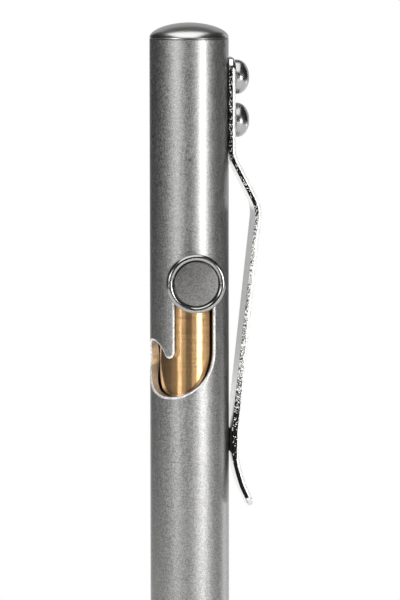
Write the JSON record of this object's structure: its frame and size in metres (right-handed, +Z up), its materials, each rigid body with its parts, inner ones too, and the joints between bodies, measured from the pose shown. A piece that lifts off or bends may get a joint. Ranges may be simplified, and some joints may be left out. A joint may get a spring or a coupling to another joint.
{
  "type": "bolt action pen",
  "caption": "Metal bolt action ball pen: blasted tube body with a hooked slot, sliding thumb bolt, bronze plunger, screwed-on pocket clip, domed end plug and tapered front section.",
  "frame": {"origin": "on the pen's axis at the flat front face of the nose", "axes": "+Z up the pen's axis towards the domed tail, -Y through the bolt and the straight leg of its slot, +X towards the pocket clip"},
  "size_m": [0.0154, 0.0129, 0.1458],
  "materials": {
    "blasted_titanium": "bead-blasted titanium, fine even grain",
    "polished_titanium": "polished titanium",
    "clip_titanium": "satin strip with rough cut edges",
    "screw_steel": "polished screw steel",
    "coin_titanium": "fine satin disc",
    "turned_bronze": "turned bronze with fine lines",
    "spring_steel": "drawn spring wire",
    "refill_steel": "plain drawn steel tube",
    "point_brass": "turned brass",
    "ball_carbide": "polished carbide",
    "tail_plastic": "moulded black plastic",
    "ring_rubber": "black rubber"
  },
  "bodies": {
    "barrel": {"barrel": "blasted_titanium", "end_plug": "polished_titanium", "pocket_clip": "clip_titanium", "clip_screw_upper": "screw_steel", "clip_screw_lower": "screw_steel"},
    "bolt_carriage": {"plunger": "turned_bronze", "bolt_knob": "polished_titanium", "knob_coin": "coin_titanium", "knob_screw": "screw_steel", "refill_tube": "refill_steel", "refill_tail": "tail_plastic", "refill_point": "point_brass", "refill_ball": "ball_carbide"},
    "front_seal": {"front_ring": "ring_rubber"},
    "front": {"front_section": "blasted_titanium", "return_spring": "spring_steel"}
  },
  "joints": [
    {"name": "bolt_slide", "type": "slide", "parent": "barrel", "child": "bolt_carriage", "axis": [0, 0, -1], "range_m": [0, 0.0102], "stiffness_N_per_m": 200, "springref_m": -0.005, "deforming": ["return_spring"]},
    {"name": "front_draw", "type": "slide", "parent": "barrel", "child": "front_seal", "axis": [0, 0, -1], "range_m": [0, 0.006]},
    {"name": "front_turn", "type": "hinge", "parent": "front_seal", "child": "front", "pos_m": [0, 0, 0.042], "axis": [0, 0, -1], "range_deg": [0, 1442]}
  ],
  "couplings": [
    {"joint": "front_turn", "follows": "front_draw", "rad_per_m": 4188.8}
  ]
}
